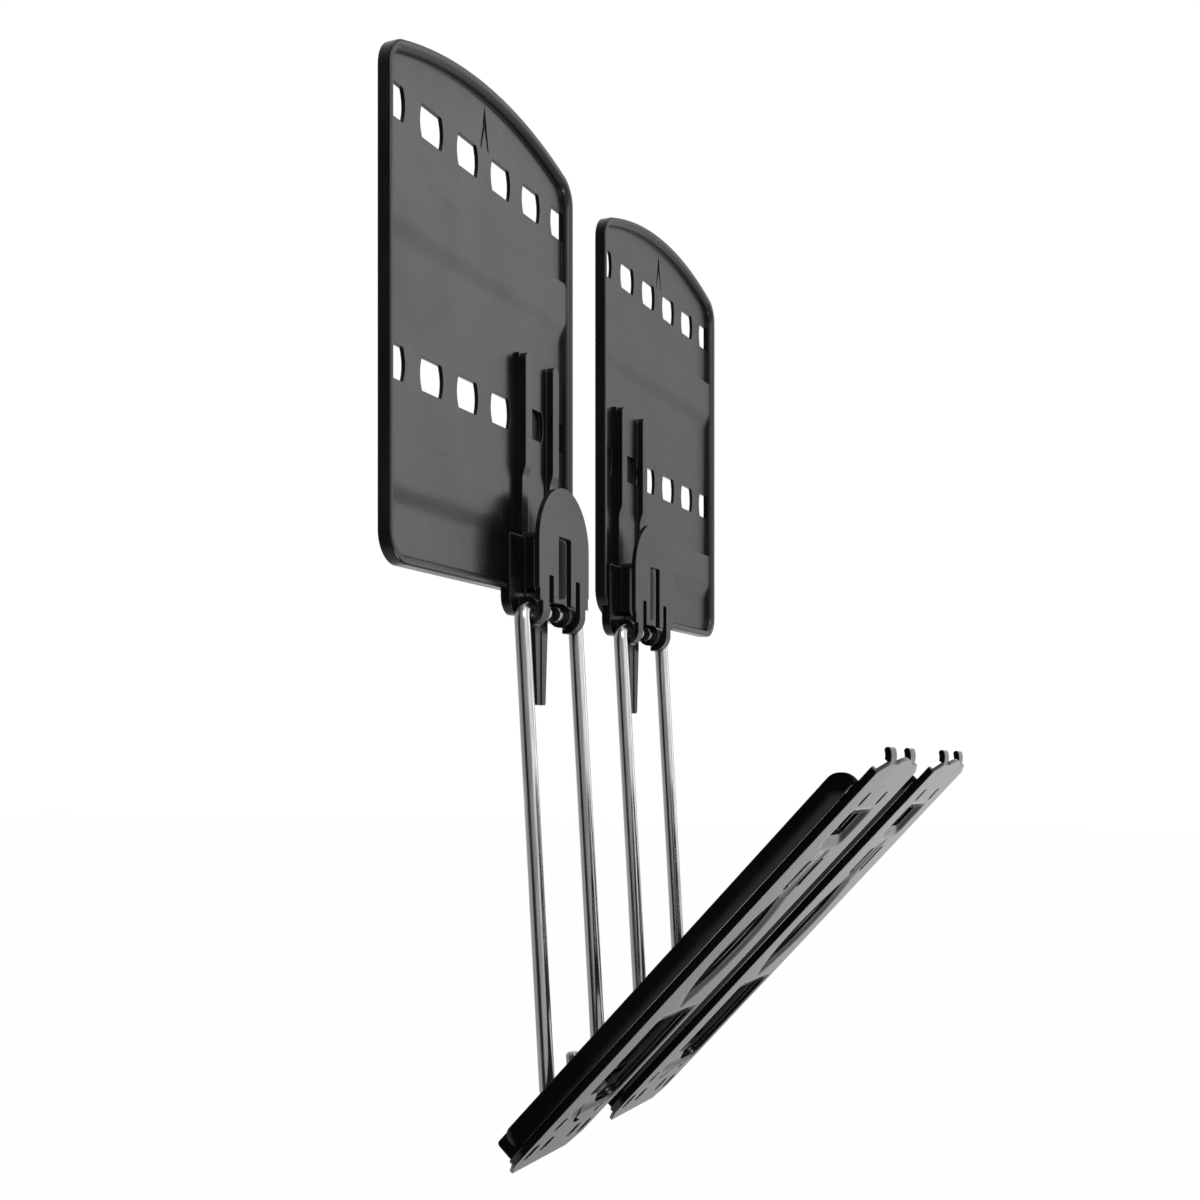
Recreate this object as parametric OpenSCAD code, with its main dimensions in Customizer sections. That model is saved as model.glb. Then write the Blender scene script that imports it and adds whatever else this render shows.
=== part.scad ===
// Wall mount for a television: two mirrored wall units, each with a wire
// support that hangs from its wall plate and carries a tilted screen rail.
// Millimetres. The wall is the plane y = 0, the room is at -y, z is up.
// x = 0 is halfway between the units, z = 0 halfway between the hole rows.

/* [Layout] */
// distance between the outermost wall holes of the two units
unit_span = 402; // [380:2:480]
// tilt of the screen rail from upright
rail_tilt = 42.9; // [36:0.1:43]
// lean of the wire support away from the wall
wire_lean = 3.4; // [3.3:0.1:6]

/* [Wall plate] */
// distance between neighbouring holes in a row
hole_pitch = 34; // [34:0.5:36]
// distance between the two rows of holes
row_gap = 115; // [112:1:118]
// distance from the outermost hole centre to the plate's side
side_margin = 9; // [8.5:0.5:12]
// height of the top of the arch above the middle of the rows
arch_top = 95.5; // [92:0.5:105]
// depth of the plate's bottom edge below the middle of the rows
plate_foot = 147; // [146:0.5:150]
// radius of the arched top edge
arch_r = 284; // [250:2:340]
// depth of the tray from the wall to its rim
tray_depth = 6.6; // [6:0.2:7.4]
// thickness of the sheet steel
sheet = 2; // [1.6:0.1:2.2]
// radius of a wall hole's curved sides
hole_r = 18; // [12:1:30]
// width of a wall hole between its curved sides
hole_w = 21; // [18:0.5:22]
// height of a wall hole between its flat sides
hole_h = 15.4; // [10:0.2:18]

/* [Hinge bracket] */
// distance between the outer faces of the two ribs
rib_span = 39; // [38.5:0.5:41]
// width of a rib's front edge
rib_w = 7; // [6:0.1:7.4]
// height of the ribs' upper end
rib_top = -24; // [-40:1:-20]
// width of the raised pad under the ribs
pad_w = 72; // [68:1:74]

/* [Wire support] */
// diameter of the wire
wire_d = 8; // [7:0.1:8]
// length between the upper and the lower cross bars
wire_len = 247; // [240:1:260]
// half of the distance between the two legs
leg_x = 32; // [31.6:0.1:32.4]

/* [Latch clip] */
// width of the clip
clip_w = 60; // [56:1:62]
// height of the clip's rounded top above the hinge line
clip_top = 64; // [58:1:68]
// thickness of the clip
clip_t = 2.6; // [2:0.1:2.8]

/* [Screen rail] */
// length of the face plate
face_len = 280; // [270:2:300]
// width of the face plate
face_w = 81.2; // [80.6:0.2:84]
// distance from the lower pivot to the face plate's lower end
face_foot = 41; // [36:1:41]
// depth of the inner channel
channel_depth = 12.8; // [12:0.1:14]
// width of a screen fixing slot
slot_w = 6; // [5:0.5:7]

/* [Hidden] */
$fn = 64;
eps = 0.5;
columns = 6;
xc = 138;
plate_half = (hole_pitch * (columns - 1)) / 2 + side_margin;
plate_mid = hole_pitch * (columns - 1) / 2;
hinge_y = -11.7;
hinge_z = -156;
wire_r = wire_d / 2;
run_gap = 0.06;
strip_t = 0.8;
rim_w = 5;
rim_round = 4;
corner_top = 15;
corner_foot = 14;
band_flat = 0.58;
rib_low = -120;
boss_half = 20;
boss_low = -147;
boss_h = 31;
boss_front = -12.6;
window_w = 28;
window_h = 14;
window_z = 191;
mid_slot_x = 11;
mid_slot_z = 167;
mid_slot_h = 20;
top_slot_x = 17;
top_slot_z = 217;
top_slot_h = 9;
bar_w = 13;
bar_low = 60;
bar_len = 96;
hub_z = 122;
hub_r = 11;
hub_hole_r = 4;
sleeve_r = wire_r + 2.3;
tab_half = 7.4;
head_half = 10;
head_z = -134;
head_h = 4;
tab_travel = 6;
rib_front = 7.9;
pivot_y = hinge_y - wire_len * sin(wire_lean);
pivot_z = hinge_z - wire_len * cos(wire_lean);
face_back = -8.6;
face_front = face_back - sheet;
channel_half = face_w / 2 - 2;
bulge = 1.8;
channel_top = 225;
channel_foot = -32.5;
black = [0.09, 0.09, 0.1];
gloss = [0.05, 0.05, 0.055];
steel = [0.72, 0.73, 0.75];
grey = [0.4, 0.41, 0.43];

// the left unit's own x runs from its outermost hole towards the middle
module left_unit() {
  translate([-unit_span / 2, 0, 0]) children();
}

module right_unit() {
  mirror([1, 0, 0]) left_unit() children();
}

// places a drawing in x and z at depth y, thickened towards the room
module sheet_at(y, t) {
  translate([0, y, 0]) rotate([90, 0, 0]) linear_extrude(t) children();
}

// extrudes a profile drawn as [y, z] along x
module along_x(x0, len) {
  translate([x0, 0, 0]) rotate([90, 0, 90]) linear_extrude(len) children();
}

// rectangle with four rounded corners
module round_rect(x0, z0, w, h, r) {
  translate([x0 + r, z0]) square([w - 2 * r, h]);
  translate([x0, z0 + r]) square([w, h - 2 * r]);
  for (x = [x0 + r, x0 + w - r], z = [z0 + r, z0 + h - r])
    translate([x, z]) circle(r);
}

// slot with round ends, standing upright
module slot(x, z, w, h) {
  translate([x - w / 2, z - h / 2 + w / 2]) square([w, h - w]);
  for (k = [-1, 1]) translate([x, z + k * (h - w) / 2]) circle(w / 2);
}

// the arch's centre and the centres of the upper corners
arch_z = arch_top - arch_r;
top_x = plate_half - corner_top;
top_z = arch_z + sqrt(pow(arch_r - corner_top, 2) - pow(top_x, 2));

// outline of the wall plate, shrunk by inset on every side
module plate_outline(inset) {
  r_top = corner_top - inset;
  r_foot = corner_foot - inset;
  half = plate_half - inset;
  arch = arch_r - inset;
  translate([plate_mid, 0]) difference() {
    intersection() {
      translate([0, arch_z]) circle(arch, $fn = 360);
      round_rect(-half, inset - plate_foot, 2 * half, arch, r_foot);
    }
    for (k = [-1, 1]) scale([k, 1]) translate([top_x, top_z])
      difference() {
        polygon([[0, 0], [top_x, top_z - arch_z] / 8, [60, 30], [60, 0]]);
        circle(r_top);
      }
  }
}

// section of the rim, drawn as [inwards from the outline, towards the room]
module rim_section() {
  difference() {
    square([rim_w, tray_depth]);
    corner(rim_w, tray_depth, -1, -1, rim_round);
    corner(0, tray_depth, 1, -1, rim_w - rim_round);
  }
}

// rim along an arc of radius r round [x, z], from angle a to angle b
module rim_arc(x, z, r, a, b) {
  translate([x, 0, z]) rotate([90, 0, 0]) rotate([0, 0, a])
    rotate_extrude(angle = b - a, $fn = 360)
      translate([r, 0]) mirror([1, 0]) rim_section();
}

// rounded rim all round the plate's outline
module rim() {
  t = atan2(top_z - arch_z, top_x);
  foot = plate_half - corner_foot;
  low_z = corner_foot - plate_foot;
  translate([plate_mid, 0, 0]) {
    rim_arc(0, arch_z, arch_r, t, 180 - t);
    rim_arc(top_x, top_z, corner_top, 0, t);
    rim_arc(-top_x, top_z, corner_top, 180 - t, 180);
    rim_arc(-foot, low_z, corner_foot, 180, 270);
    rim_arc(foot, low_z, corner_foot, 270, 360);
    for (k = [-1, 1]) translate([k * plate_half, 0, low_z])
      linear_extrude(top_z - low_z) scale([-k, -1]) rim_section();
    along_x(-foot, 2 * foot) translate([0, -plate_foot]) rotate(90) rim_section();
  }
}

// wall hole: flat above and below, with curved sides
module wall_hole(x, z) {
  translate([x, z]) intersection() {
    translate([hole_w / 2 - hole_r, 0]) circle(hole_r);
    translate([hole_r - hole_w / 2, 0]) circle(hole_r);
    square([2 * hole_w, hole_h], center = true);
  }
}

module wall_holes() {
  intersection() {
    for (i = [0 : columns - 1], k = [-1, 1])
      wall_hole(i * hole_pitch, k * row_gap / 2);
    plate_outline(rim_w);
  }
}

// raised band with a sharp upper step, a flat field and a soft fall below it
module band_profile(top, low, rise) {
  flat = (top - low) * band_flat;
  fall = top - flat - low;
  polygon([[1, top], [-sheet, top], [-sheet - rise, top - 0.8],
           [-sheet - rise, top - flat],
           for (i = [1 : 8])
             [-sheet - rise * (1 + cos(i * 22.5)) / 2, top - flat - fall * i / 8],
           [1, low]]);
}

module band(top, low, rise, x0, x1) {
  r = 9;
  intersection() {
    along_x(x0, x1 - x0) band_profile(top, low, rise);
    sheet_at(1, 2 * tray_depth)
      round_rect(x0 - 2 * r, low - r, x1 - x0 + 2 * r, top - low + r, r);
  }
}

module wall_plate() {
  inner = plate_mid - plate_half + sheet;
  far = plate_mid + plate_half - sheet;
  mid_top = 27;
  mid_low = -6;
  low_top = -90.5;
  low_low = -123;
  mid_rise = 2.6;
  low_rise = 2.4;
  low_end = 99;
  groove = 0.9;
  mark_top = 88;
  mark_low = 66.5;
  mark_h = mark_top - mark_low;
  mark_half = 4.2;
  color(black) difference() {
    union() {
      sheet_at(0, sheet) plate_outline(rim_w / 2);
      rim();
      intersection() {
        union() {
          band(mid_top, mid_low, mid_rise, inner, far);
          band(low_top, low_low, low_rise, inner, low_end);
        }
        sheet_at(-sheet / 2, tray_depth) plate_outline(sheet / 2);
      }
    }
    // the bands are pressed, so they are hollow from the wall side
    intersection() {
      translate([0, sheet, 0]) {
        band(mid_top - sheet, mid_low + sheet, mid_rise,
             inner + sheet, far - sheet);
        band(low_top - sheet, low_low + sheet, low_rise,
             inner + sheet, low_end - sheet);
      }
      sheet_at(eps, tray_depth) plate_outline(rim_w + 0.5);
    }
    sheet_at(eps, tray_depth) wall_holes();
    // shallow recess behind the plate for the backing strip
    sheet_at(eps, eps + strip_t + 0.1) strip_outline(0.2);
    // centre mark above the upper row, two fine grooves that part downwards
    for (k = [-1, 1]) sheet_at(groove - sheet, tray_depth)
      polygon([[plate_mid, mark_top], [plate_mid + k * mark_half, mark_low],
               [plate_mid + k * (mark_half - groove), mark_low],
               [plate_mid, mark_top - mark_h / 2]]);
    // the rim is open at the foot, where the hinge bracket passes
    translate([xc - pad_w / 2 - 1, -tray_depth - eps, -plate_foot - eps])
      cube([pad_w + 2, tray_depth + eps - sheet, corner_foot + 1]);
  }
}

// strip behind the plate, seen through the lower holes beside the ribs
module strip_outline(gap) {
  x = 4 * hole_pitch - hole_w / 2 - 3 - gap;
  h = hole_h + 8;
  translate([x, -row_gap / 2 - h / 2 - gap])
    square([plate_mid + plate_half - rim_w + 2 + gap - x, h + 2 * gap]);
}

module backing_strip() {
  color(black) sheet_at(-0.1, strip_t) strip_outline(0);
}

// upright rib with a rounded top, set back at its foot
module rib(x) {
  front = rib_front;
  low_front = rib_front - 2;
  step_z = rib_top - 56;
  step_h = 9;
  intersection() {
    along_x(x - rib_w / 2, rib_w)
      polygon([[-sheet, rib_top], [-front, rib_top],
               for (i = [0 : 8])
                 [-low_front - (front - low_front) * (1 + cos(i * 22.5)) / 2,
                  step_z - step_h * i / 8],
               [-low_front, rib_low + 2], [-sheet, rib_low + 2]]);
    sheet_at(0, 2 * tray_depth) union() {
      translate([x, rib_top - rib_w / 2]) circle(rib_w / 2);
      translate([x - rib_w / 2, rib_low])
        square([rib_w, rib_top - rib_low - rib_w / 2]);
    }
  }
}

// wire lug of the hinge bracket, a short sleeve on the hinge line
module wire_lug(x0, w) {
  along_x(x0, w) {
    translate([hinge_y, hinge_z]) circle(sleeve_r);
    translate([hinge_y, hinge_z - 3]) square([-4 - hinge_y, sleeve_r + 3]);
  }
}

module hinge_bracket() {
  pad_y = -7.2;
  pad_top = -118.5;
  pad_foot = -159;
  pad_r = 9;
  ridge_h = 0.8;
  rib_x = (rib_span - rib_w) / 2;
  color(black) difference() {
    union() {
      sheet_at(-sheet, sheet)
        translate([xc - rib_span / 2, pad_top - 1])
          square([rib_span, rib_top - pad_top + 1]);
      for (k = [-1, 1]) rib(xc + k * rib_x);
      sheet_at(-sheet, -sheet - pad_y) difference() {
        union() {
          translate([xc - pad_w / 2 + pad_r, pad_foot])
            square([pad_w - 2 * pad_r, pad_r]);
          translate([xc - pad_w / 2, pad_foot + pad_r])
            square([pad_w, pad_top - pad_foot - pad_r]);
          for (k = [-1, 1])
            translate([xc + k * (pad_w / 2 - pad_r), pad_foot + pad_r])
              circle(pad_r);
        }
      }
      // the ribs run on as low ridges down the pad
      for (k = [-1, 1]) translate([xc + k * rib_x - rib_w / 2, 0, 0])
        sheet_at(pad_y + eps, ridge_h + eps)
          translate([0, pad_foot + 3]) square([1.6, pad_top - pad_foot - 3]);
      for (k = [-1, 1]) wire_lug(xc + k * 19 - 7, 14);
      // raised block close behind the clip's slots
      sheet_at(-sheet, -sheet - boss_front)
        round_rect(xc - boss_half, boss_low, 2 * boss_half, boss_h, 4);
    }
    // pocket of the pull tab, wider at the top for its head
    translate([xc - tab_half - 0.3, pad_y - eps, pad_foot - eps])
      cube([2 * tab_half + 0.6, eps - pad_y - 4.2, 30]);
    translate([xc - head_half - 0.3, pad_y - eps, head_z - tab_travel - 1])
      cube([2 * head_half + 0.6, eps - pad_y - 4.2, tab_travel + head_h + 2]);
    along_x(xc - pad_w, 2 * pad_w)
      translate([hinge_y, hinge_z]) circle(wire_r + run_gap);
    sheet_at(eps, 2 * sheet + 2 * eps) wall_hole(4 * hole_pitch, -row_gap / 2);
  }
}

// outline of the latch clip with its three slots
module clip_outline() {
  half = clip_w / 2;
  neck = 19;
  slot_half = 7.6;
  slot_top = 38.5;
  dome_z = clip_top - half;
  low = 4;
  difference() {
    union() {
      intersection() {
        translate([0, dome_z]) circle(half);
        translate([-half, dome_z]) square([2 * half, clip_top - dome_z]);
      }
      translate([-half, low + 6]) square([2 * half, dome_z - low - 6]);
      for (k = [-1, 1])
        translate([k * (half + neck - 1) / 2 - 5, low]) square([10, 8]);
      translate([-neck, low]) square([2 * neck, 8]);
    }
    round_rect(-slot_half, -10, 2 * slot_half, 10 + slot_top, 1.2);
    for (k = [-1, 1]) round_rect(k * 16 - 2.7, -10, 5.4, 27.5, 0.8);
    translate([-12, -10]) square([24, 10]);
  }
}

// a finger's curl around the upper cross bar
module clip_curl(x0, w) {
  r_out = -clip_front_y();
  along_x(x0, w) difference() {
    union() {
      difference() {
        circle(r_out);
        translate([-2 * r_out, 0]) square([4 * r_out, 2 * r_out]);
        translate([1.5, -2 * r_out]) square([2 * r_out, 4 * r_out]);
      }
      translate([-r_out, -0.01]) square([clip_t, 5]);
    }
    circle(r_out - clip_t);
  }
}

function clip_front_y() = -(sleeve_r + 0.1 + clip_t);

module latch_clip() {
  color(gloss) translate([xc, hinge_y, hinge_z]) {
    sheet_at(clip_front_y() + clip_t, clip_t) clip_outline();
    for (k = [-1, 1]) clip_curl(k * 22.2 - 3.4, 6.8);
  }
}

module pull_tab() {
  foot_z = -165;
  tip_z = -203.5;
  half = tab_half;
  tip = 4.9;
  back = -4.4;
  tab_t = 2.8;
  color(black) {
    sheet_at(back, tab_t) translate([xc, 0]) {
      translate([-head_half, head_z]) square([2 * head_half, head_h]);
      translate([-half, foot_z]) square([2 * half, head_z - foot_z]);
      polygon([[-half, foot_z], [half, foot_z], [tip, tip_z + 1],
               [tip - 1, tip_z], [1 - tip, tip_z], [-tip, tip_z + 1]]);
    }
    // fine ridge along the strip
    sheet_at(back - tab_t, 0.6) translate([xc - 0.6, tip_z])
      square([1.2, foot_z - tip_z]);
  }
}

// everything that hangs from the hinge line, drawn upright
module hang() {
  translate([xc, hinge_y, hinge_z]) rotate([-wire_lean, 0, 0]) children();
}

// quarter bend of the wire with its centre at [x, z]
module wire_bend(x, z, r, up) {
  translate([x, 0, z]) rotate([90, 0, 0]) mirror([0, up ? 0 : 1, 0])
    rotate_extrude(angle = 90) translate([r, 0]) circle(wire_r, $fn = 32);
}

module support_wire() {
  r_top = 6.5;
  r_low = 8;
  inner_end = 5;
  color(steel) hang() {
    for (k = [0, 1]) mirror([k, 0, 0]) {
      translate([inner_end, 0, 0]) rotate([0, 90, 0])
        cylinder(h = leg_x - r_top - inner_end, r = wire_r, $fn = 32);
      wire_bend(leg_x - r_top, -r_top, r_top, true);
      translate([leg_x, 0, r_low - wire_len])
        cylinder(h = wire_len - r_low - r_top, r = wire_r, $fn = 32);
      wire_bend(leg_x - r_low, r_low - wire_len, r_low, false);
    }
    translate([r_low - leg_x, 0, -wire_len]) rotate([0, 90, 0])
      cylinder(h = 2 * (leg_x - r_low), r = wire_r, $fn = 32);
  }
}

// short stud with a chamfered end on the lower cross bar
module wire_stud() {
  r = 3.7;
  h = 20;
  chamfer = 1.2;
  color(grey) hang() difference() {
    union() {
      translate([0, 0, -wire_len]) cylinder(h = h - chamfer, r = r);
      translate([0, 0, h - chamfer - wire_len])
        cylinder(h = chamfer, r1 = r, r2 = r - chamfer);
    }
    translate([-2 * r, 0, -wire_len]) rotate([0, 90, 0])
      cylinder(h = 4 * r, r = wire_r);
    translate([-2 * r, -2 * r, -wire_len - 2 * r]) cube([4 * r, 4 * r, 2 * r]);
  }
}

// the rail's own frame: x across, y towards the wall, z along the rail
module rail_frame() {
  translate([xc, pivot_y, pivot_z]) rotate([rail_tilt, 0, 0]) children();
}

// openings shared by the face plate and the channel behind it
module rail_openings() {
  eye_z = 116.5;
  eye_half = 35.5;
  eye_w = 14;
  eye_r = (pow(eye_half, 2) + pow(eye_w, 2)) / (2 * eye_w);
  intersection_for(k = [-1, 1])
    translate([k * (eye_r - eye_w), eye_z]) circle(eye_r, $fn = 96);
  round_rect(-19, 12, 38, 43, 4);
  round_rect(-window_w / 2, window_z, window_w, window_h, 2.5);
  for (k = [-1, 1]) {
    slot(k * mid_slot_x, mid_slot_z, slot_w, mid_slot_h);
    slot(k * top_slot_x, top_slot_z, slot_w - 1, top_slot_h);
    slot(k * 16, -23.5, slot_w, 11);
    slot(k * 24, -6.5, slot_w - 1, 10);
  }
}

// curved slit beside the rounded tab under the long window
module tab_slit() {
  difference() {
    intersection() {
      translate([6, 3]) circle(16.5);
      translate([-12, -14]) square([18, 17]);
    }
    translate([6, 3]) circle(14);
  }
}

// hook at the rail's upper end, curled towards the wall
module hook(x) {
  r = 11;
  t = 3;
  w = 11;
  foot = top_s() - 4.6;
  turn = 58;
  along_x(x - w / 2, w) translate([face_front + r, foot]) {
    difference() {
      intersection() {
        circle(r);
        polygon([[0, 0], [-2 * r, 0], [-2 * r, 2 * r],
                 [2 * r * -cos(turn), 2 * r * sin(turn)]]);
      }
      circle(r - t);
    }
    rotate(180 - turn) translate([r - t / 2, 0]) circle(t / 2);
  }
}

function top_s() = face_len - face_foot;

module rail_face() {
  cut = 9;
  half = face_w / 2;
  top = top_s();
  crown = 3;
  fall = 5;
  color(gloss) rail_frame() {
    difference() {
      union() {
        sheet_at(face_back, sheet) {
          translate([-half, -face_foot]) square([face_w, face_len]);
          // the upper edge rises between the two hooks
          intersection() {
            translate([0, top + crown - 40]) circle(40);
            translate([-15, top - 1]) square([30, crown + 1]);
          }
        }
        for (k = [-1, 1])
          translate([k * (half - 0.9) - 0.9, face_front, -face_foot])
            cube([1.8, 3.8, face_len]);
      }
      sheet_at(0, 20) {
        rail_openings();
        tab_slit();
        for (k = [-1, 1]) {
          slot(k * 31.5, -25, slot_w, 12);
          scale([k, 1]) translate([half, -face_foot])
            polygon([[1, -1], [-cut, -1], [-cut, 0], [0, cut], [1, cut]]);
          scale([k, 1]) translate([half, top])
            polygon([[1, 1], [-12, 1], [-12, 0], [0, -fall], [1, -fall]]);
        }
      }
    }
    difference() {
      for (k = [-1, 1]) hook(k * 20.5);
      translate([-half, -20, 0]) cube([face_w, 40, top - eps]);
    }
  }
}

// what a rounded corner takes away, at [x, y] with the piece on side [kx, ky]
module corner(x, y, kx, ky, r) {
  translate([x, y]) scale([kx, ky]) difference() {
    translate([-1, -1]) square(r + 1);
    translate([r, r]) circle(r);
  }
}

// side of the channel, drawn as [towards the wall, along the rail]
module cheek_outline() {
  back = face_back + channel_depth;
  difference() {
    translate([face_back, channel_foot])
      square([channel_depth, channel_top - channel_foot]);
    corner(back, channel_foot, -1, 1, 2);
    corner(back, channel_top, -1, -1, 8);
  }
}

// raised field of a cheek, shrunk by inset on every side
module field_outline(inset) {
  low = face_front + 4.2 + inset;
  back = face_back + channel_depth - inset;
  foot = channel_foot + 8 + inset;
  top = channel_top - inset;
  difference() {
    translate([low, foot]) square([back - low, top - foot]);
    for (k = [[low, 1], [back, -1]]) corner(k[0], foot, k[1], 1, 5 - inset);
    corner(low, top, 1, -1, 3 - inset);
    corner(back, top, -1, -1, 8 - inset);
  }
}

module rail_channel() {
  out = 2 * sheet + bulge;
  color(gloss) rail_frame() {
    difference() {
      sheet_at(face_back + sheet, sheet)
        translate([-channel_half, channel_foot])
          square([2 * channel_half, channel_top - channel_foot]);
      sheet_at(10, 30) {
        rail_openings();
        tab_slit();
        for (k = [-1, 1]) slot(k * 31.5, -25, slot_w, 12);
      }
    }
    // each cheek has a field that is pressed outwards
    for (k = [-1, 1]) scale([k, 1, 1]) difference() {
      union() {
        along_x(channel_half - sheet, sheet) cheek_outline();
        along_x(channel_half - sheet, out) field_outline(0);
      }
      along_x(channel_half - 2 * sheet, out) field_outline(sheet);
    }
  }
}

module pivot_clamps() {
  w = 8;
  r = wire_r + 2.6;
  web = face_back + sheet;
  color(grey) rail_frame() {
    for (k = [-1, 1]) along_x(k * 17 - w / 2, w) difference() {
      union() {
        circle(r);
        translate([web, -r]) square([-web, 2 * r]);
      }
      circle(wire_r + run_gap);
    }
  }
}

// flat bar seen through the long openings of the rail
module lock_bar() {
  color(grey) rail_frame() {
    difference() {
      sheet_at(face_back + 2 * sheet, sheet) {
        round_rect(-bar_w / 2, bar_low, bar_w, bar_len, 3);
        translate([0, hub_z]) circle(hub_r);
      }
      sheet_at(5, 20) translate([0, hub_z]) circle(hub_hole_r);
    }
  }
}

left_unit() wall_plate();  // wall_plate_left
left_unit() hinge_bracket();  // hinge_bracket_left
left_unit() latch_clip();  // latch_clip_left
left_unit() pull_tab();  // pull_tab_left
left_unit() support_wire();  // support_wire_left
left_unit() wire_stud();  // wire_stud_left
left_unit() rail_face();  // rail_face_left
left_unit() rail_channel();  // rail_channel_left
left_unit() pivot_clamps();  // pivot_clamps_left
left_unit() lock_bar();  // lock_bar_left
right_unit() wall_plate();  // wall_plate_right
right_unit() hinge_bracket();  // hinge_bracket_right
right_unit() latch_clip();  // latch_clip_right
right_unit() pull_tab();  // pull_tab_right
right_unit() support_wire();  // support_wire_right
right_unit() wire_stud();  // wire_stud_right
right_unit() rail_face();  // rail_face_right
right_unit() rail_channel();  // rail_channel_right
right_unit() pivot_clamps();  // pivot_clamps_right
right_unit() lock_bar();  // lock_bar_right
left_unit() backing_strip();  // backing_strip_left
right_unit() backing_strip();  // backing_strip_right
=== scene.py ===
import math

import bmesh
import bpy
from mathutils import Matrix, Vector


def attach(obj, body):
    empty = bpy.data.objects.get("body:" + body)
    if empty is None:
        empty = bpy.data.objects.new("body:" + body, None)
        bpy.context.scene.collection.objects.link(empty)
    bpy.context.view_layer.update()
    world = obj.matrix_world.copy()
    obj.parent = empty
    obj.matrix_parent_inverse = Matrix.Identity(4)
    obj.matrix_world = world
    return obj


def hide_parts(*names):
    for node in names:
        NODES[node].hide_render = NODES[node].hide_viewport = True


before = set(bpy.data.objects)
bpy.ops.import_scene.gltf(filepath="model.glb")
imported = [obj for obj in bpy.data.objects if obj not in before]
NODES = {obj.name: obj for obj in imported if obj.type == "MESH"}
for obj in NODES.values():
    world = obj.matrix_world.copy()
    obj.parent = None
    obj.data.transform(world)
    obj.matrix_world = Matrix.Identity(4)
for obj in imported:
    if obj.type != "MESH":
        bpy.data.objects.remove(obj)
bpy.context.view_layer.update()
SIDES = {"left": -1, "right": 1}


# materials

class Graph:
    """Short calls for building a node material."""

    def __init__(self, name):
        self.mat = bpy.data.materials.new(name)
        self.mat.use_nodes = True
        self.tree = self.mat.node_tree
        self.shader = self.tree.nodes["Principled BSDF"]

    def node(self, kind, inputs, **settings):
        made = self.tree.nodes.new(kind)
        for key, value in settings.items():
            setattr(made, key, value)
        for key, value in inputs.items():
            self.put(value, made.inputs[key])
        return made

    def put(self, value, socket):
        """Link an output to the socket, or set a plain value."""
        if isinstance(value, bpy.types.NodeSocket):
            self.tree.links.new(value, socket)
        else:
            socket.default_value = value

    def coords(self, stretch=(1, 1, 1)):
        place = self.node("ShaderNodeTexCoord", {}).outputs["Object"]
        return self.node("ShaderNodeMapping", {"Vector": place, "Scale": stretch}).outputs[0]

    def xyz(self, output="Object"):
        place = self.node("ShaderNodeTexCoord", {}).outputs[output]
        return self.node("ShaderNodeSeparateXYZ", {0: place}).outputs

    def noise(self, vector, scale, detail):
        inputs = {"Vector": vector, "Scale": scale, "Detail": detail, "Roughness": 0.5}
        return self.node("ShaderNodeTexNoise", inputs).outputs["Fac"]

    def span(self, value, start, end, **settings):
        """Map a value from one (low, high) pair to another."""
        inputs = {"Value": value, "From Min": start[0], "From Max": start[1],
                  "To Min": end[0], "To Max": end[1]}
        return self.node("ShaderNodeMapRange", inputs, **settings).outputs[0]

    def ramp(self, value, stops):
        """Grey ramp over 0 to 1 from (position, level) stops, with one at each end."""
        made = self.node("ShaderNodeValToRGB", {0: value})
        elements = made.color_ramp.elements
        for element, (_, level) in zip(elements, (stops[0], stops[-1])):
            element.color = (level, level, level, 1)
        for at, level in stops[1:-1]:
            elements.new(at).color = (level, level, level, 1)
        return made.outputs[0]

    def mix_rgb(self, share, dark, light):
        mix = self.node("ShaderNodeMix", {0: share, 6: (*dark, 1), 7: (*light, 1)}, data_type="RGBA")
        return mix.outputs[2]

    def bump(self, height, strength, distance, normal):
        inputs = {"Height": height, "Strength": strength, "Distance": distance, "Normal": normal}
        return self.node("ShaderNodeBump", inputs).outputs[0]

    def edge(self, radius, samples):
        """Normals that round the sharp edges by a radius."""
        return self.node("ShaderNodeBevel", {"Radius": radius}, samples=samples).outputs[0]

    def math(self, operation, *values):
        return self.node("ShaderNodeMath", dict(enumerate(values)), operation=operation).outputs[0]

    def azimuth(self, x, y):
        """Direction round the Z axis as 0 to 1, with 0.5 along +X."""
        return self.math("ADD", self.math("DIVIDE", self.math("ARCTAN2", y, x), 2 * math.pi), 0.5)


# the part of a noise's range that a mix or a roughness follows
NOISE_BAND = (0.35, 0.65)


def surface(g, blend, cloud, dark, light, rough):
    """Colour that follows one noise and roughness that follows another."""
    g.put(g.mix_rgb(g.span(blend, NOISE_BAND, (0.0, 1.0)), dark, light), g.shader.inputs["Base Color"])
    g.put(g.span(cloud, NOISE_BAND, rough), g.shader.inputs["Roughness"])


# the specks in paint are finer and shallower than its orange peel
SPECK_FINER, SPECK_DEPTH = 3.1, 0.4

# edge radius of bare steel and of plastic
FINE_EDGE = 0.0003


def paint(name, dark, light, rough, grain, depth, edge):
    """Baked paint: a fine orange peel over a soft, slightly uneven sheen."""
    g = Graph(name)
    at = g.coords()
    cloud = g.noise(at, scale=24.0, detail=3.0)
    surface(g, cloud, cloud, dark, light, rough)
    peel = g.noise(at, scale=grain, detail=2.0)
    speck = g.noise(at, scale=grain * SPECK_FINER, detail=1.0)
    skin = g.bump(peel, strength=0.35, distance=depth, normal=g.edge(edge, samples=8))
    skin = g.bump(speck, strength=0.15, distance=depth * SPECK_DEPTH, normal=skin)
    g.put(skin, g.shader.inputs["Normal"])
    return g.mat


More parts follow.
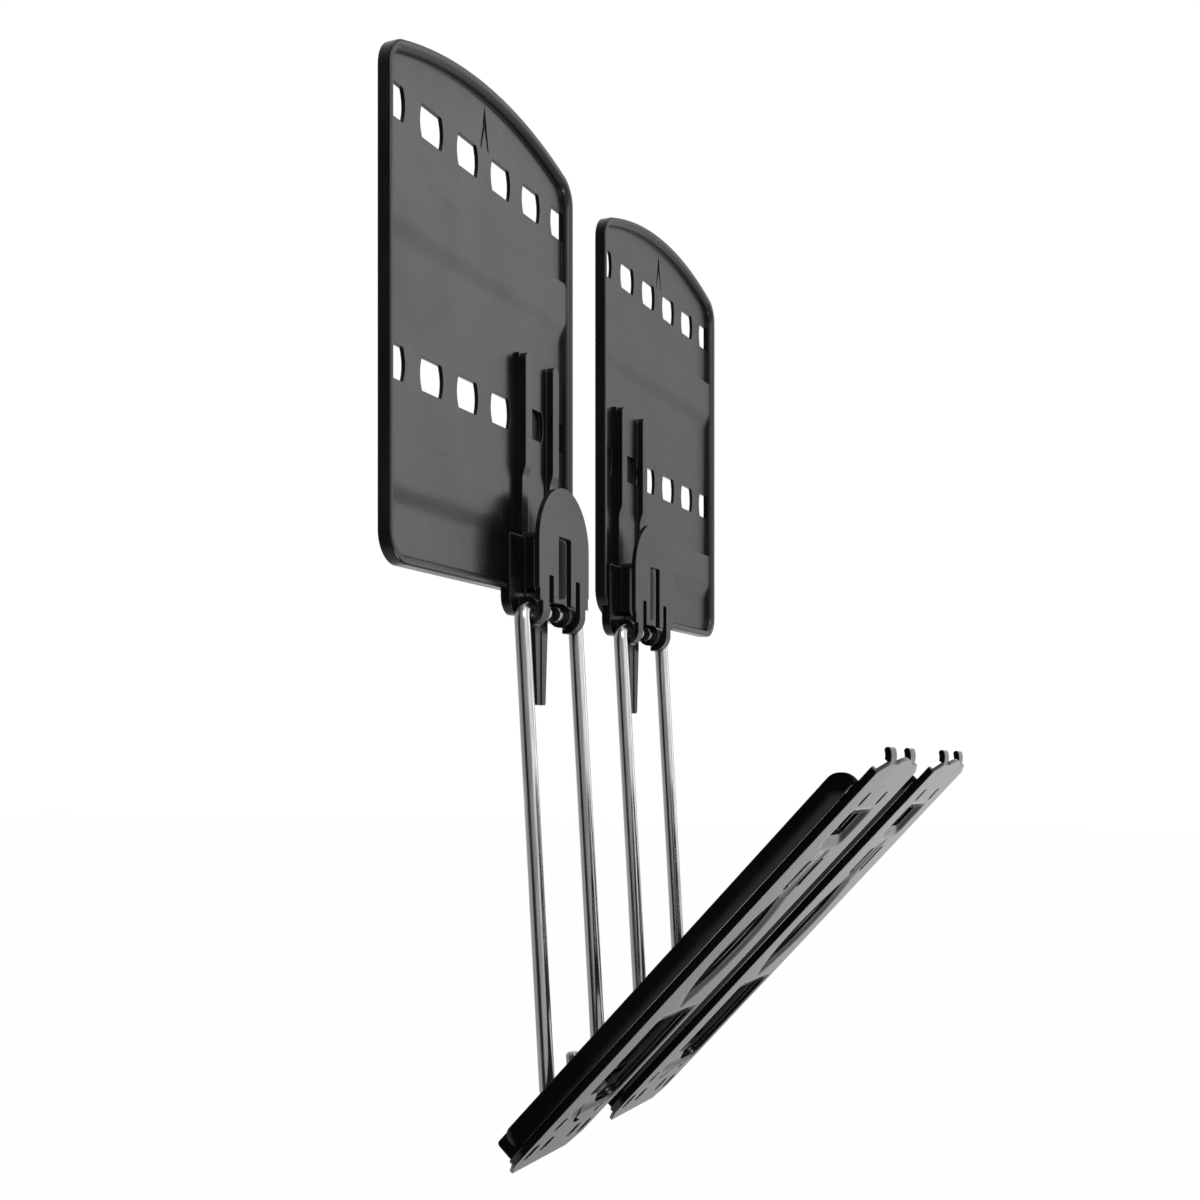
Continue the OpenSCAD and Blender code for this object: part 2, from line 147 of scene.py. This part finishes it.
def polished(name, dark, light, rough, stretch):
    """Drawn and polished steel: fine streaks along the wire."""
    g = Graph(name)
    streak = g.noise(g.coords(stretch), scale=900.0, detail=2.0)
    cloud = g.noise(g.coords(), scale=60.0, detail=3.0)
    surface(g, streak, cloud, dark, light, rough)
    skin = g.bump(streak, strength=0.12, distance=0.00003, normal=g.edge(FINE_EDGE, samples=4))
    g.put(skin, g.shader.inputs["Normal"])
    g.put(1.0, g.shader.inputs["Metallic"])
    return g.mat


def moulded(name, dark, light, rough):
    """Moulded plastic with a fine spark-eroded grain."""
    g = Graph(name)
    at = g.coords()
    cloud = g.noise(at, scale=40.0, detail=2.0)
    surface(g, cloud, cloud, dark, light, rough)
    grain = g.noise(at, scale=1600.0, detail=2.0)
    skin = g.bump(grain, strength=0.25, distance=0.00006, normal=g.edge(FINE_EDGE, samples=4))
    g.put(skin, g.shader.inputs["Normal"])
    return g.mat


MATS = {
    "wall_plate": paint("plate_paint", (0.0040, 0.0040, 0.0044), (0.0065, 0.0065, 0.0070),
                        rough=(0.24, 0.32), grain=900.0, depth=0.00012, edge=0.0006),
    "hinge_bracket": paint("bracket_paint", (0.0035, 0.0035, 0.0040), (0.0055, 0.0055, 0.0060),
                           rough=(0.18, 0.26), grain=900.0, depth=0.00010, edge=0.0008),
    "latch_clip": paint("clip_paint", (0.0040, 0.0040, 0.0045), (0.0060, 0.0060, 0.0065),
                        rough=(0.18, 0.26), grain=1100.0, depth=0.00008, edge=0.0006),
    "pull_tab": moulded("tab_plastic", (0.008, 0.008, 0.009), (0.012, 0.012, 0.013), rough=(0.22, 0.30)),
    "support_wire": polished("wire_steel", (0.42, 0.42, 0.43), (0.58, 0.58, 0.59),
                             rough=(0.12, 0.22), stretch=(1, 1, 0.02)),
    "wire_stud": polished("stud_steel", (0.34, 0.34, 0.35), (0.46, 0.46, 0.47),
                          rough=(0.22, 0.32), stretch=(1, 1, 0.05)),
    "rail_face": paint("rail_gloss", (0.0020, 0.0020, 0.0024), (0.0035, 0.0035, 0.0040),
                       rough=(0.08, 0.13), grain=500.0, depth=0.00004, edge=0.0008),
    "rail_channel": paint("channel_gloss", (0.0015, 0.0015, 0.0018), (0.0030, 0.0030, 0.0034),
                          rough=(0.12, 0.20), grain=700.0, depth=0.00005, edge=0.0011),
    "pivot_clamps": moulded("clamp_plastic", (0.05, 0.05, 0.052), (0.07, 0.07, 0.072), rough=(0.35, 0.45)),
    # the lock bar's steel colour is painted far darker than bare steel: painted shade for the dark inside
    # of the rail's eye opening
    "lock_bar": polished("bar_steel_painted_shade", (0.10, 0.10, 0.105), (0.16, 0.16, 0.165),
                         rough=(0.25, 0.35), stretch=(1, 1, 0.1)),
    "backing_strip": paint("strip_paint", (0.003, 0.003, 0.0034), (0.005, 0.005, 0.0055),
                           rough=(0.45, 0.55), grain=900.0, depth=0.00010, edge=0.0002),
}
for side in SIDES:
    for kind, mat in MATS.items():
        for slot in NODES[f"{kind}_{side}"].material_slots:
            slot.material = mat


# the rail's own axes: across, along its face, and deep towards the wall

TILT = math.radians(42.9)
LEAN = math.radians(3.4)
WIRE = 0.247
HINGE_Y, HINGE_Z = -0.0117, -0.156
PIVOT_Y = HINGE_Y - WIRE * math.sin(LEAN)
PIVOT_Z = HINGE_Z - WIRE * math.cos(LEAN)
UNIT_X = 0.063
SIN, COS = math.sin(TILT), math.cos(TILT)
ALONG = Vector((0, -SIN, COS))


def to_rail(point, sign):
    """World point to the rail's across, along and deep."""
    y, z = point.y - PIVOT_Y, point.z - PIVOT_Z
    return -sign * point.x + UNIT_X, -y * SIN + z * COS, y * COS + z * SIN


def from_rail(across, along, deep, sign):
    return Vector((sign * (UNIT_X - across),
                   PIVOT_Y - along * SIN + deep * COS,
                   PIVOT_Z + along * COS + deep * SIN))


def smooth(value):
    value = min(max(value, 0.0), 1.0)
    return value * value * (3 - 2 * value)


# pressed rails

# half the width that is pressed, and how softly the dents end before it
FIELD, FIELD_EASE = 0.036, 0.005

# the lower window as cut in the solid: half its width, its ends along the rail
CUT_HALF, CUT_LOW, CUT_HIGH = 0.019, 0.012, 0.055
CUT_MID, CUT_REACH = (CUT_LOW + CUT_HIGH) / 2, (CUT_HIGH - CUT_LOW) / 2

# how far beyond the window its stretch fades out: beside, below and above it
FADE_SIDE, FADE_LOW, FADE_HIGH = 0.017, 0.020, 0.013

# the stretch: a shift across, more width, a higher top, a lower foot and a still lower corner
SHIFT, WIDEN, RAISE, LOWER, CORNER = 0.010, 0.005, 0.010, 0.002, 0.012
CORNER_START, CORNER_RUN = -0.005, 0.020

# the stretched window and the top one: middle across and along, half width, half length
LOW_WINDOW = (0.010, 0.0325, 0.024, 0.0325)
TOP_WINDOW = (0.0, 0.198, 0.014, 0.007)

# the eye-shaped opening between two arcs: middle along, half length, half width
EYE_AT, EYE_HALF, EYE_WIDE = 0.1165, 0.0355, 0.014
EYE_R = (EYE_HALF ** 2 + EYE_WIDE ** 2) / (2 * EYE_WIDE)

# how deep the sheet is pressed at an opening, and how far round it
LOW_DENT, TOP_DENT, EYE_DENT = (0.0012, 0.006), (0.0022, 0.006), (0.0016, 0.007)


def outside(across, along, middle_across, middle_along, half_across, half_along):
    """Distance outside a rectangle."""
    return math.hypot(max(abs(across - middle_across) - half_across, 0.0),
                      max(abs(along - middle_along) - half_along, 0.0))


def dent(distance, size):
    depth, reach = size
    return depth * smooth(1 - distance / reach)


def stretched(across, along):
    """The lower window's surroundings, pulled out to the window's shape in the photo."""
    beside = max(abs(across) - CUT_HALF, 0.0) / FADE_SIDE
    beyond = max(CUT_LOW - along, 0.0) / FADE_LOW + max(along - CUT_HIGH, 0.0) / FADE_HIGH
    near = max(1 - beside, 0.0) * max(1 - beyond, 0.0)
    across += (SHIFT + WIDEN * min(max(across / CUT_HALF, -1.0), 1.0)) * near
    if along > CUT_MID:
        return across, along + RAISE * near * min((along - CUT_MID) / CUT_REACH, 1.0)
    foot = LOWER + CORNER * smooth((across - CORNER_START) / CORNER_RUN)
    return across, along - foot * near * min((CUT_MID - along) / CUT_REACH, 1.0)


def pressed(across, along, deep, sign):
    """The sheet is pressed in round the openings; the window is stretched the same way on both rails."""
    if abs(across) > FIELD:
        return across, along, deep
    wide, far = stretched(-sign * across, along)
    eye = max(math.hypot(abs(across) + EYE_R - EYE_WIDE, along - EYE_AT) - EYE_R, 0.0)
    drop = (dent(outside(wide, far, *LOW_WINDOW), LOW_DENT)
            + dent(outside(across, along, *TOP_WINDOW), TOP_DENT)
            + dent(eye, EYE_DENT))
    return -sign * wide, far, deep + drop * smooth((FIELD - abs(wide)) / FIELD_EASE)


def steps(start, end, count):
    return [start + (end - start) * i / count for i in range(count + 1)]


# where the sheet is cut, so that it can be pressed: across, and along its three openings
CUTS_ACROSS = steps(-0.035, 0.035, 46)
CUTS_ALONG = steps(-0.022, 0.082, 68) + steps(0.086, 0.150, 40) + steps(0.182, 0.214, 26)
WELD, ON_PLANE = 1e-6, 1e-7
FLAT_ANGLE, SHARP_ANGLE = math.radians(0.5), math.radians(50)


def cut(sheet, point, normal):
    everything = sheet.verts[:] + sheet.edges[:] + sheet.faces[:]
    bmesh.ops.bisect_plane(sheet, geom=everything, dist=ON_PLANE, plane_co=point, plane_no=normal)


def pressed_piece(kind, side):
    """Copy of a rail part, cut finely and pressed to shape."""
    node, sign = f"{kind}_{side}", SIDES[side]
    sheet = bmesh.new()
    sheet.from_mesh(NODES[node].data)
    bmesh.ops.remove_doubles(sheet, verts=sheet.verts, dist=WELD)
    bmesh.ops.dissolve_limit(sheet, angle_limit=FLAT_ANGLE, verts=sheet.verts, edges=sheet.edges,
                             delimit={"NORMAL"})
    for across in CUTS_ACROSS:
        cut(sheet, from_rail(across, 0, 0, sign), (1, 0, 0))
    for along in CUTS_ALONG:
        cut(sheet, from_rail(0, along, 0, sign), ALONG)
    for v in sheet.verts:
        v.co = from_rail(*pressed(*to_rail(v.co, sign), sign), sign)
    mesh = bpy.data.meshes.new(node + "_pressed")
    sheet.to_mesh(mesh)
    sheet.free()
    mesh.shade_smooth()
    mesh.set_sharp_from_angle(angle=SHARP_ANGLE)
    mesh.materials.append(MATS[kind])
    piece = bpy.data.objects.new(node + "_pressed", mesh)
    bpy.context.collection.objects.link(piece)
    piece.modifiers.new("flat", "WEIGHTED_NORMAL").keep_sharp = True
    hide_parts(node)
    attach(piece, "rail_" + side)


for side in SIDES:
    pressed_piece("rail_face", side)
    pressed_piece("rail_channel", side)


# stage

FLOOR_Z = -0.62
FLOOR_HALF = 9.0

# share of what the eye and reflections see of the floor that is its own light
FLOOR_SHARE = 0.985

# what reflections see of the floor: greyer near the part than far to the right
NEAR_X, FAR_X = 0.2, 1.8
NEAR_GREY, FAR_GREY = 0.52, 0.9

# a dark wedge of it at the left, by direction from a point under the left unit
WEDGE_X = -0.1
WEDGE = [(0.0, 0.03), (0.015, 0.03), (0.05, 1.0), (0.86, 1.0), (0.905, 0.03), (1.0, 0.03)]

# and a round soft box low in front of the rails
GLOW_X, GLOW_Y = -0.20, -0.33
GLOW_R = 0.10
GLOW = 10.0


def white_floor():
    """Floor that the camera sees as near white, with the object's shadow kept."""
    g = Graph("floor_white")
    g.put((0.9, 0.9, 0.9, 1), g.shader.inputs["Base Color"])
    g.put(0.9, g.shader.inputs["Roughness"])
    x, y, _ = g.xyz()
    grey = g.span(x, (NEAR_X, FAR_X), (NEAR_GREY, FAR_GREY), interpolation_type="SMOOTHSTEP")
    grey = g.math("MULTIPLY", grey, g.ramp(g.azimuth(g.math("SUBTRACT", x, WEDGE_X), y), WEDGE))
    dx, dy = g.math("SUBTRACT", x, GLOW_X), g.math("SUBTRACT", y, GLOW_Y)
    reach = g.math("SQRT", g.math("ADD", g.math("MULTIPLY", dx, dx), g.math("MULTIPLY", dy, dy)))
    spot = g.span(reach, (GLOW_R, GLOW_R * 2), (GLOW, 0.0), interpolation_type="SMOOTHSTEP")
    ray = g.node("ShaderNodeLightPath", {}).outputs
    mirrored = g.math("MULTIPLY", ray["Is Glossy Ray"], g.math("ADD", grey, spot))
    light = g.node("ShaderNodeEmission",
                   {"Color": (1, 1, 1, 1), "Strength": g.math("ADD", ray["Is Camera Ray"], mirrored)})
    seen = g.math("MAXIMUM", ray["Is Camera Ray"], ray["Is Glossy Ray"])
    both = g.node("ShaderNodeMixShader", {0: g.math("MULTIPLY", seen, FLOOR_SHARE),
                                          1: g.shader.outputs[0], 2: light.outputs[0]})
    g.put(both.outputs[0], g.tree.nodes["Material Output"].inputs["Surface"])
    return g.mat


corners = [(FLOOR_HALF * x, FLOOR_HALF * y, FLOOR_Z) for x, y in ((-1, -1), (1, -1), (1, 1), (-1, 1))]
floor_mesh = bpy.data.meshes.new("floor")
floor_mesh.from_pydata(corners, [], [(0, 1, 2, 3)])
floor_mesh.materials.append(white_floor())
floor = bpy.data.objects.new("floor", floor_mesh)
bpy.context.collection.objects.link(floor)


# world: white all round for the eye; reflections find a bright room at the right
# and a dark one at the left, as a row of soft boxes on one side gives

SKY = 0.55
BRIGHTEST = 1.4
ROOM = [(0.0, 0.35), (0.14, 0.45), (0.19, 1.3), (0.29, 1.3), (0.34, 0.70), (0.43, 0.60), (0.49, 0.86),
        (0.60, 0.88), (0.75, 0.5), (0.87, 0.35), (0.892, 0.02), (0.975, 0.02), (1.0, 0.35)]


class Studio(Graph):
    """The same short calls for the world's node tree."""

    def __init__(self, name):
        world = bpy.data.worlds.new(name)
        bpy.context.scene.world = world
        world.use_nodes = True
        self.tree = world.node_tree
        self.shader = self.tree.nodes["Background"]


def light_world():
    g = Studio("studio")
    ray = g.node("ShaderNodeLightPath", {}).outputs
    seen = g.math("MAXIMUM", ray["Is Camera Ray"], ray["Is Transmission Ray"])
    level = g.span(seen, (0.0, 1.0), (SKY, 1.0))
    east, north, _ = g.xyz("Generated")
    ring = g.ramp(g.azimuth(east, north), [(at, amount / BRIGHTEST) for at, amount in ROOM])
    gloss = ray["Is Glossy Ray"]
    mirrored = g.math("MULTIPLY", gloss, g.math("MULTIPLY", ring, BRIGHTEST))
    direct = g.math("MULTIPLY", g.math("SUBTRACT", 1.0, gloss), level)
    g.put((1, 1, 1, 1), g.shader.inputs["Color"])
    g.put(g.math("ADD", mirrored, direct), g.shader.inputs["Strength"])


def lamp(name, at, aim, size, power):
    light = bpy.data.lights.new(name, "AREA")
    light.shape = "RECTANGLE"
    light.size, light.size_y = size
    light.energy = power
    holder = bpy.data.objects.new(name, light)
    holder.location = at
    holder.rotation_euler = (Vector(aim) - Vector(at)).to_track_quat("-Z", "Y").to_euler()
    bpy.context.collection.objects.link(holder)


light_world()
lamp("key", at=(-1.2, -2.0, 1.6), aim=(0, 0, -0.1), size=(1.6, 1.6), power=22.0)
lamp("fill", at=(2.0, -1.8, 0.6), aim=(0, 0, -0.2), size=(1.4, 1.8), power=10.0)


# camera: level, as fitted to the photo

EYE_POINT = (-0.7656, -0.3499, -0.2366)
YAW = math.radians(23.769)
LOOK = Vector((math.cos(YAW), math.sin(YAW), 0))

lens = bpy.data.cameras.new("camera")
lens.sensor_width = 36.0
lens.lens = 45.0
lens.shift_y = 0.1406
camera = bpy.data.objects.new("camera", lens)
camera.location = EYE_POINT
camera.rotation_euler = LOOK.to_track_quat("-Z", "Y").to_euler()
bpy.context.collection.objects.link(camera)
bpy.context.scene.camera = camera
bpy.context.scene.view_settings.view_transform = "Standard"
